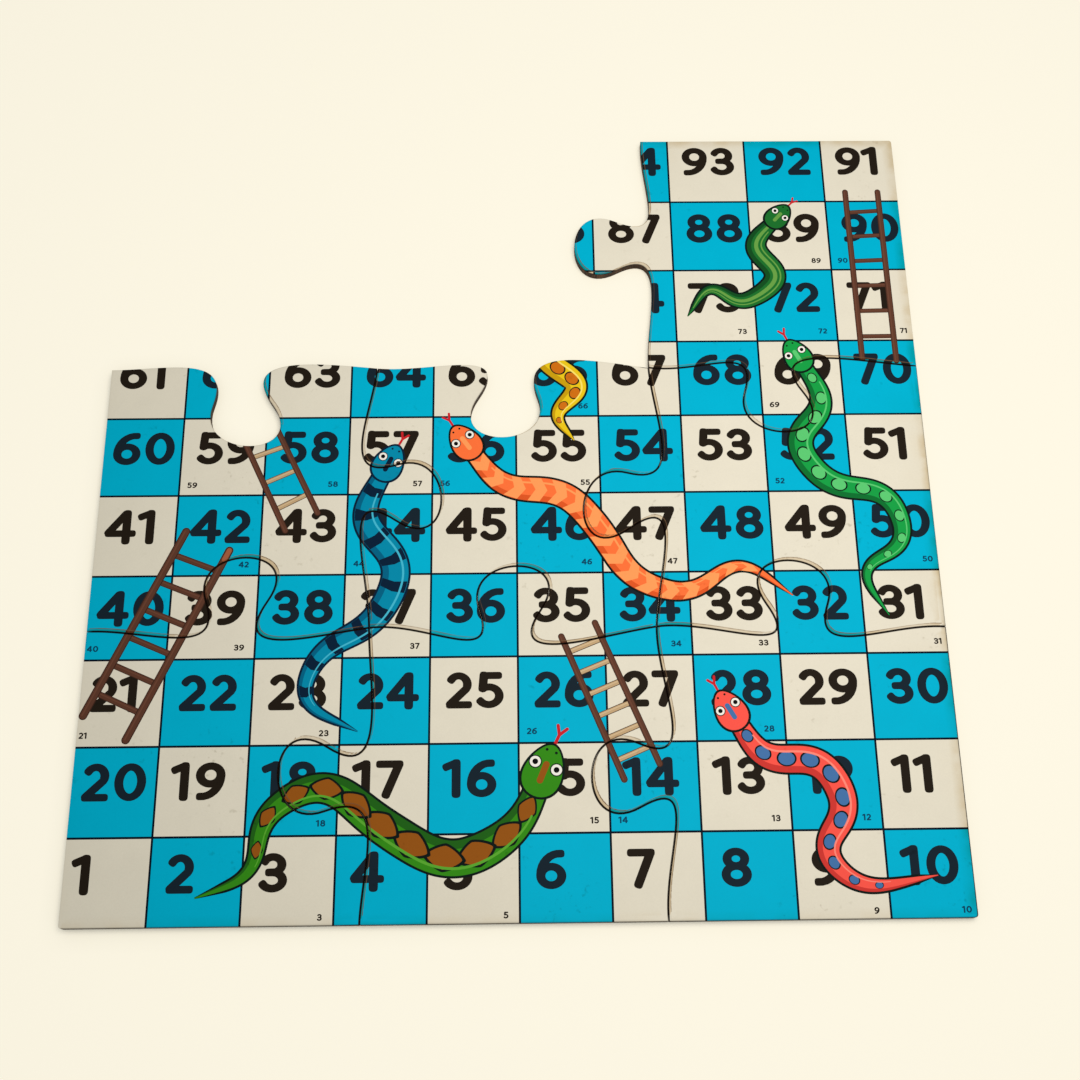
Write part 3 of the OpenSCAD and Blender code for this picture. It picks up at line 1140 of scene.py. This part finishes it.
class Wire:
    """A shader socket that takes part in Python arithmetic: each operator adds a Math node."""

    def __init__(self, graph: "Graph", socket: bpy.types.NodeSocket | None) -> None:
        """Hold the socket, if there is one, and the graph that it belongs to."""
        self.graph = graph
        self.socket = socket

    def __add__(self, other: "Wire | float") -> "Wire":
        """Sum of two values."""
        return self.graph.math("ADD", self, other)

    __radd__ = __add__

    def __sub__(self, other: "Wire | float") -> "Wire":
        """Difference of two values."""
        return self.graph.math("SUBTRACT", self, other)

    def __rsub__(self, other: float) -> "Wire":
        """Difference from a number."""
        return self.graph.math("SUBTRACT", other, self)

    def __mul__(self, other: "Wire | float") -> "Wire":
        """Product of two values."""
        return self.graph.math("MULTIPLY", self, other)

    __rmul__ = __mul__

    def __abs__(self) -> "Wire":
        """Size of a value without its sign."""
        return self.graph.math("ABSOLUTE", self)


class Graph:
    """The node tree of one material or world, with nodes made by type, settings and socket values."""

    def __init__(self, owner: bpy.types.Material | bpy.types.World) -> None:
        """Start from an empty tree."""
        owner.use_nodes = True
        self.tree = owner.node_tree
        self.tree.nodes.clear()

    def node(
        self, kind: str, settings: dict[str, Any], inputs: dict[str | int, Any], output: str | int = 0,
    ) -> Wire:
        """Add a node: its settings first, then the values or links of its sockets.

        Args:
            kind: Blender's name for the node type.
            settings: Properties of the node, such as an operation.
            inputs: Values or wires by socket name or number.
            output: Name or number of the output wanted.

        Returns:
            That output as a wire, which is empty for a node without outputs.
        """
        made = self.tree.nodes.new(kind)
        for name, value in settings.items():
            setattr(made, name, value)
        for name, value in inputs.items():
            if isinstance(value, Wire):
                self.tree.links.new(value.socket, made.inputs[name])
            else:
                made.inputs[name].default_value = value
        return Wire(self, made.outputs[output] if len(made.outputs) else None)

    def math(self, operation: str, *values: Wire | float) -> Wire:
        """Add a Math node for values."""
        return self.node("ShaderNodeMath", {"operation": operation}, dict(enumerate(values)))

    def attribute(self, name: str, output: str = "Fac") -> Wire:
        """A named attribute of the mesh."""
        return self.node("ShaderNodeAttribute", {"attribute_name": name}, {}, output)

    def ray(self, kind: str) -> Wire:
        """1 for rays of a kind and 0 for others."""
        return self.node("ShaderNodeLightPath", {}, {}, f"Is {kind} Ray")

    def place(self) -> Wire:
        """Object coordinates, which are board places in metres."""
        return self.node("ShaderNodeTexCoord", {}, {}, "Object")

    def noise(self, place: Wire, feature: float, detail: float = 2.0) -> Wire:
        """Soft noise from 0 to 1, with features of about the given size in metres."""
        return self.node(
            "ShaderNodeTexNoise", {}, {"Vector": place, "Scale": 1 / feature, "Detail": detail})

    def stretch(self, place: Wire, scale: Triple) -> Wire:
        """Coordinates scaled along each axis."""
        return self.node("ShaderNodeVectorMath", {"operation": "MULTIPLY"}, {0: place, 1: scale})

    def cloud(self, place: Wire, cloud: "Cloud") -> Wire:
        """Noise that is sharpened to patches."""
        return self.step(self.noise(place, cloud.feature, cloud.detail), *cloud.levels, *cloud.values)

    def step(self, value: Wire, start: float, end: float, low: float = 0.0, high: float = 1.0) -> Wire:
        """Smooth change from low at start to high at end."""
        return self.node(
            "ShaderNodeMapRange", {"interpolation_type": "SMOOTHSTEP"},
            {"Value": value, "From Min": start, "From Max": end, "To Min": low, "To Max": high})

    def mix(self, blend: str, factor: Wire | float, under: Wire | Colour, over: Wire | Colour) -> Wire:
        """Mix two colours by a blend type."""
        return self.node(
            "ShaderNodeMix", {"data_type": "RGBA", "blend_type": blend}, {0: factor, 6: under, 7: over}, 2)

    def bump(self, height: Wire, depth: float, strength: float) -> Wire:
        """Normal that follows a height from 0 to 1, of a depth in metres."""
        return self.node("ShaderNodeBump", {}, {"Strength": strength, "Distance": depth, "Height": height})

    def surface(self, shader: Wire) -> None:
        """Send a shader to the material's surface."""
        self.node("ShaderNodeOutputMaterial", {}, {"Surface": shader})


@dataclass(frozen=True)
class Cloud:
    """Patches of noise with features of a size in metres: a change of value between two of its levels."""

    feature: float
    levels: Pair
    values: Pair = (0.0, 1.0)
    detail: float = 2.0


@dataclass(frozen=True)
class PrintedFilm:
    """Satin printed film, mottled a little, scorched and smoked where the laser went, with painted shade at
    its edges.
    """

    name: str = "printed_film"
    roughness: float = 0.47
    grain_roughness: float = 0.1
    char_roughness: float = 0.3
    specular: float = 0.02
    grain: float = 0.5 * MM
    grain_depth: float = 0.015 * MM
    grain_strength: float = 0.5
    blotch: float = 9 * MM
    blotch_detail: float = 4.0
    blotch_height: float = 0.5
    mottle: Triple = (0.93, 0.08, 0.07)
    dirt: tuple[Cloud, Cloud] = (Cloud(38 * MM, (0.5, 0.66)), Cloud(2 * MM, (0.6, 0.75), detail=6.0))
    dirt_share: float = 0.4
    dirt_tint: Tone = (176, 170, 156)
    smoke: Cloud = Cloud(22 * MM, (0.36, 0.62), (0.45, 1.0))
    smoke_share: float = 0.75
    smoke_tint: Tone = (222, 198, 160)
    line: Cloud = Cloud(1.6 * MM, (0.36, 0.5), (0.7, 1.0))
    line_tone: Tone = (112, 86, 62)
    # Painted edge shade: a patchy tan darkening along the board's outer edges
    haze_levels: Pair = (0.3, 0.7)
    haze_least: float = 0.25
    haze_tint: Tone = (220, 202, 168)
    # Colour of the char and of the painted shade on outer and free edges
    char_tone: Tone = (22, 12, 8)

    def material(self) -> bpy.types.Material:
        """Make the film's material.

        Returns:
            A material that reads the ink, cut marks and painted shade stored on a film.
        """
        made = bpy.data.materials.new(self.name)
        graph = Graph(made)
        place = graph.place()
        grain = graph.noise(place, self.grain)
        blotch = graph.noise(place, self.blotch, self.blotch_detail)
        level, by_grain, by_blotch = self.mottle
        ink, mottle = graph.attribute("ink", "Color"), level + by_grain * grain + by_blotch * blotch
        colour = graph.mix("MULTIPLY", 1.0, ink, mottle)
        broad, fine = (graph.cloud(place, dirt) for dirt in self.dirt)
        colour = graph.mix("MULTIPLY", self.dirt_share * broad * fine, colour, linear(self.dirt_tint))
        colour = self.smoked(graph, place, colour)
        # Painted shade along the outer edges, broken up by the blotches
        haze = graph.attribute("haze") * graph.step(blotch, *self.haze_levels, self.haze_least)
        colour = graph.mix("MULTIPLY", haze, colour, linear(self.haze_tint))
        # Char, with painted shade on outer and free edges
        charred_and_shaded = graph.math("MINIMUM", graph.attribute("char"), 1.0)
        height = grain + self.blotch_height * blotch
        graph.surface(graph.node("ShaderNodeBsdfPrincipled", {}, {
            "Base Color": graph.mix("MIX", charred_and_shaded, colour, linear(self.char_tone)),
            "Roughness": self.roughness + self.grain_roughness * grain + self.char_roughness * charred_and_shaded,
            "Specular IOR Level": self.specular,
            "Normal": graph.bump(height, self.grain_depth, self.grain_strength),
        }))
        return made

    def smoked(self, graph: Graph, place: Wire, colour: Wire) -> Wire:
        """Stain the print on one side of each cut: a tan band, and a thin broken line at its far edge.

        Args:
            graph: The material's graph.
            place: Board places.
            colour: The clean print.

        Returns:
            The stained print.
        """
        density = graph.cloud(place, self.smoke)
        stain = self.smoke_share * graph.attribute("stain") * density
        soot = graph.attribute("soot") * graph.cloud(place, self.line) * density
        stained = graph.mix("MULTIPLY", stain, colour, linear(self.smoke_tint))
        return graph.mix("MIX", soot, stained, linear(self.line_tone))


@dataclass(frozen=True)
class Fibreboard:
    """Laser-cut fibreboard: raw speckled faces and charred walls with fine upright streaks."""

    name: str = "fibreboard"
    raw: Tone = (166, 128, 88)
    raw_dark: Tone = (128, 92, 60)
    burnt: Tone = (46, 30, 21)
    burnt_light: Tone = (96, 64, 40)
    wall_levels: Pair = (0.3, 0.7)
    fibre: float = 1.2 * MM
    fibre_detail: float = 5.0
    fibre_share: float = 0.6
    cloud: float = 26 * MM
    face_levels: Pair = (0.32, 0.68)
    speck: Cloud = Cloud(0.45 * MM, (0.58, 0.7))
    speck_share: float = 0.35
    streak: float = 0.35 * MM
    streak_stretch: Triple = (1.0, 1.0, 0.06)
    streak_share: float = 0.55
    layer: float = 6 * MM
    layer_stretch: Triple = (1.0, 1.0, 3.0)
    cut_levels: Pair = (0.46, 0.66)
    soft_detail: float = 3.0
    bump_depth: float = 0.06 * MM
    bump_strength: float = 0.6
    roughness: float = 0.78
    fibre_roughness: float = 0.1
    wall_smoothness: float = 0.12
    specular: float = 0.25

    def material(self) -> bpy.types.Material:
        """Make the fibreboard's material.

        Returns:
            A material that tells walls from faces by their normals.
        """
        made = bpy.data.materials.new(self.name)
        graph = Graph(made)
        place = graph.place()
        normal = graph.node("ShaderNodeNewGeometry", {}, {}, "Normal")
        upright = graph.node("ShaderNodeSeparateXYZ", {}, {0: normal}, "Z")
        wall = graph.step(abs(upright), *self.wall_levels, 1.0, 0.0)
        fibre = graph.noise(place, self.fibre, self.fibre_detail)
        cloud = graph.noise(place, self.cloud, self.soft_detail)
        streak = graph.noise(graph.stretch(place, self.streak_stretch), self.streak, self.soft_detail)
        layer = graph.noise(graph.stretch(place, self.layer_stretch), self.layer, self.soft_detail)
        pale = graph.step(self.fibre_share * fibre + (1 - self.fibre_share) * cloud, *self.face_levels)
        face = graph.mix("MIX", pale, linear(self.raw_dark), linear(self.raw))
        specks = self.speck_share * graph.cloud(place, self.speck)
        face = graph.mix("MULTIPLY", specks, face, linear(self.raw_dark))
        light = graph.step(self.streak_share * streak + (1 - self.streak_share) * layer, *self.cut_levels)
        cut = graph.mix("MIX", light, linear(self.burnt), linear(self.burnt_light))
        height = fibre * (1 - wall) + streak * wall
        graph.surface(graph.node("ShaderNodeBsdfPrincipled", {}, {
            "Base Color": graph.mix("MIX", wall, face, cut),
            "Roughness": self.roughness + self.fibre_roughness * fibre - self.wall_smoothness * wall,
            "Specular IOR Level": self.specular,
            "Normal": graph.bump(height, self.bump_depth, self.bump_strength),
        }))
        return made


@dataclass
class Cores:
    """The tiles' fibreboard cores, which stay as the frame has them."""

    finish: Fibreboard

    def dress(self) -> None:
        """Give every core the fibreboard finish."""
        material = self.finish.material()
        for tile in Tile:
            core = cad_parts[f"{tile.value}_core"]
            core.data.materials.clear()
            core.data.materials.append(material)
            LOG.info("core %s dressed", core.name)


@dataclass(frozen=True)
class Softbox:
    """A square studio lamp that points at a place on the board."""

    name: str
    place: Triple
    aim: Triple
    size: float
    watts: float
    tone: Tone = (255, 249, 242)

    def build(self) -> None:
        """Hang the lamp."""
        lamp = bpy.data.lights.new(self.name, "AREA")
        lamp.shape, lamp.size, lamp.energy = "SQUARE", self.size, self.watts
        lamp.color = linear(self.tone)[:3]
        holder = bpy.data.objects.new(self.name, lamp)
        away = Vector(self.place) - Vector(self.aim)
        turned = away.to_track_quat("Z", "Y").to_matrix().to_4x4()
        holder.matrix_world = Matrix.Translation(self.place) @ turned
        bpy.context.scene.collection.objects.link(holder)


@dataclass
class Studio:
    """A plain pale floor and soft light."""

    floor_half: float = 3.0
    floor_drop: float = 0.05 * MM
    floor_tone: Tone = (255, 249, 230)
    glow_share: float = 0.86
    fade: Pair = (0.5, 2.2)
    # Reach and samples of the painted contact shadow that dims the floor's glow
    contact_reach: float = 8 * MM
    contact_samples: int = 6
    world_level: float = 0.21
    world_tint: Triple = (0.93, 1.0, 0.98)
    lamps: tuple[Softbox, ...] = (
        Softbox("key_softbox", place=(0.115, 0.0, 0.47), aim=(0.09, 0.05, 0.0), size=0.3, watts=2.17),
    )

    def build(self) -> None:
        """Lay the floor, light the world and hang the lamps."""
        corners = self.floor_half * np.array([[-1, -1], [1, -1], [1, 1], [-1, 1]])
        places = np.column_stack([corners, np.full(4, -self.floor_drop)])
        mesh = bpy.data.meshes.new("studio_floor")
        mesh.from_pydata(places.tolist(), [], [[0, 1, 2, 3]])
        mesh.materials.append(self.floor_material())
        floor = bpy.data.objects.new("studio_floor", mesh)
        bpy.context.scene.collection.objects.link(floor)
        self.light_world()
        for lamp in self.lamps:
            lamp.build()

    def seen(self, graph: Graph) -> Wire:
        """1 for rays from the camera, straight or by gloss or glass, and 0 for the light on the object."""
        rays = [graph.ray(kind) for kind in ("Camera", "Glossy", "Transmission")]
        return graph.math("MINIMUM", rays[0] + rays[1] + rays[2], 1.0)

    def floor_material(self) -> bpy.types.Material:
        """Make the floor: pale glow where seen, painted shadow by the board, and paint that takes its
        shadows.

        Returns:
            The floor's material.
        """
        made = bpy.data.materials.new("studio_floor")
        graph = Graph(made)
        tone = linear(self.floor_tone)
        paint = graph.node("ShaderNodeBsdfDiffuse", {}, {"Color": tone})
        glow = graph.node("ShaderNodeEmission", {}, {"Color": tone, "Strength": 1.0})
        # Ambient occlusion dims the glow: a painted contact shadow round the board and painted shade under
        # the cuts
        openness = graph.node("ShaderNodeAmbientOcclusion", {"samples": self.contact_samples},
                              {"Distance": self.contact_reach}, "AO")
        away = graph.node("ShaderNodeVectorMath", {"operation": "LENGTH"}, {0: graph.place()}, "Value")
        plain = graph.step(away, *self.fade)
        share = self.seen(graph) * graph.math("MAXIMUM", self.glow_share * openness, plain)
        graph.surface(graph.node("ShaderNodeMixShader", {}, {0: share, 1: paint, 2: glow}))
        return made

    def light_world(self) -> None:
        """Give soft light from all round, behind a backdrop of the floor's tone."""
        world = bpy.data.worlds.new("studio_world")
        bpy.context.scene.world = world
        graph = Graph(world)
        skies = ((*self.world_tint, 1), self.world_level), (linear(self.floor_tone), 1.0)
        light, backdrop = (
            graph.node("ShaderNodeBackground", {}, {"Color": colour, "Strength": strength})
            for colour, strength in skies)
        shown = graph.node("ShaderNodeMixShader", {}, {0: graph.ray("Camera"), 1: light, 2: backdrop})
        graph.node("ShaderNodeOutputWorld", {}, {"Surface": shown})


@dataclass(frozen=True)
class PhotoCamera:
    """The camera above the board's front edge, turned a little about its line of sight."""

    place: Triple = (0.2 * MM, -189 * MM, 483.4 * MM)
    aim: Triple = (8.1 * MM, -17.5 * MM, 3.2 * MM)
    roll: float = math.radians(2.0)
    lens_mm: float = 47.6
    sensor_mm: float = 36.0
    clip: Pair = (0.01, 20.0)

    def build(self) -> None:
        """Set up the camera and make it the scene's own."""
        data = bpy.data.cameras.new("photo_camera")
        data.lens, data.sensor_width, data.sensor_fit = self.lens_mm, self.sensor_mm, "HORIZONTAL"
        data.clip_start, data.clip_end = self.clip
        camera = bpy.data.objects.new("photo_camera", data)
        forward = (Vector(self.aim) - Vector(self.place)).normalized()
        level = forward.cross(Vector((0, 0, 1))).normalized()
        upright = level.cross(forward)
        right = math.cos(self.roll) * level + math.sin(self.roll) * upright
        turned = Matrix((right, right.cross(forward), -forward)).transposed().to_4x4()
        camera.matrix_world = Matrix.Translation(self.place) @ turned
        bpy.context.scene.collection.objects.link(camera)
        bpy.context.scene.camera = camera


def main() -> None:
    """Build the camera, studio, cores and printed faces, in that order."""
    logging.basicConfig(level=logging.INFO, format="%(name)s: %(message)s")
    bpy.context.scene.view_settings.view_transform = "Standard"
    PhotoCamera().build()
    Studio().build()
    Cores(Fibreboard()).dress()
    sheet = PrintSheet.drawn(Track())
    film = PrintedFilm().material()
    outlines = {tile: Outline.of_node(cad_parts[f"{tile.value}_print"]) for tile in Tile}
    for tile in Tile:
        others = np.vstack([outlines[other].points for other in Tile if other is not tile])
        piece = PrintedTile(tile, sheet, CutMarks(outlines[tile], others)).build()
        piece.data.materials.append(film)
        LOG.info("piece %s: %d faces", piece.name, len(piece.data.polygons))


if __name__ == "__main__":
    main()
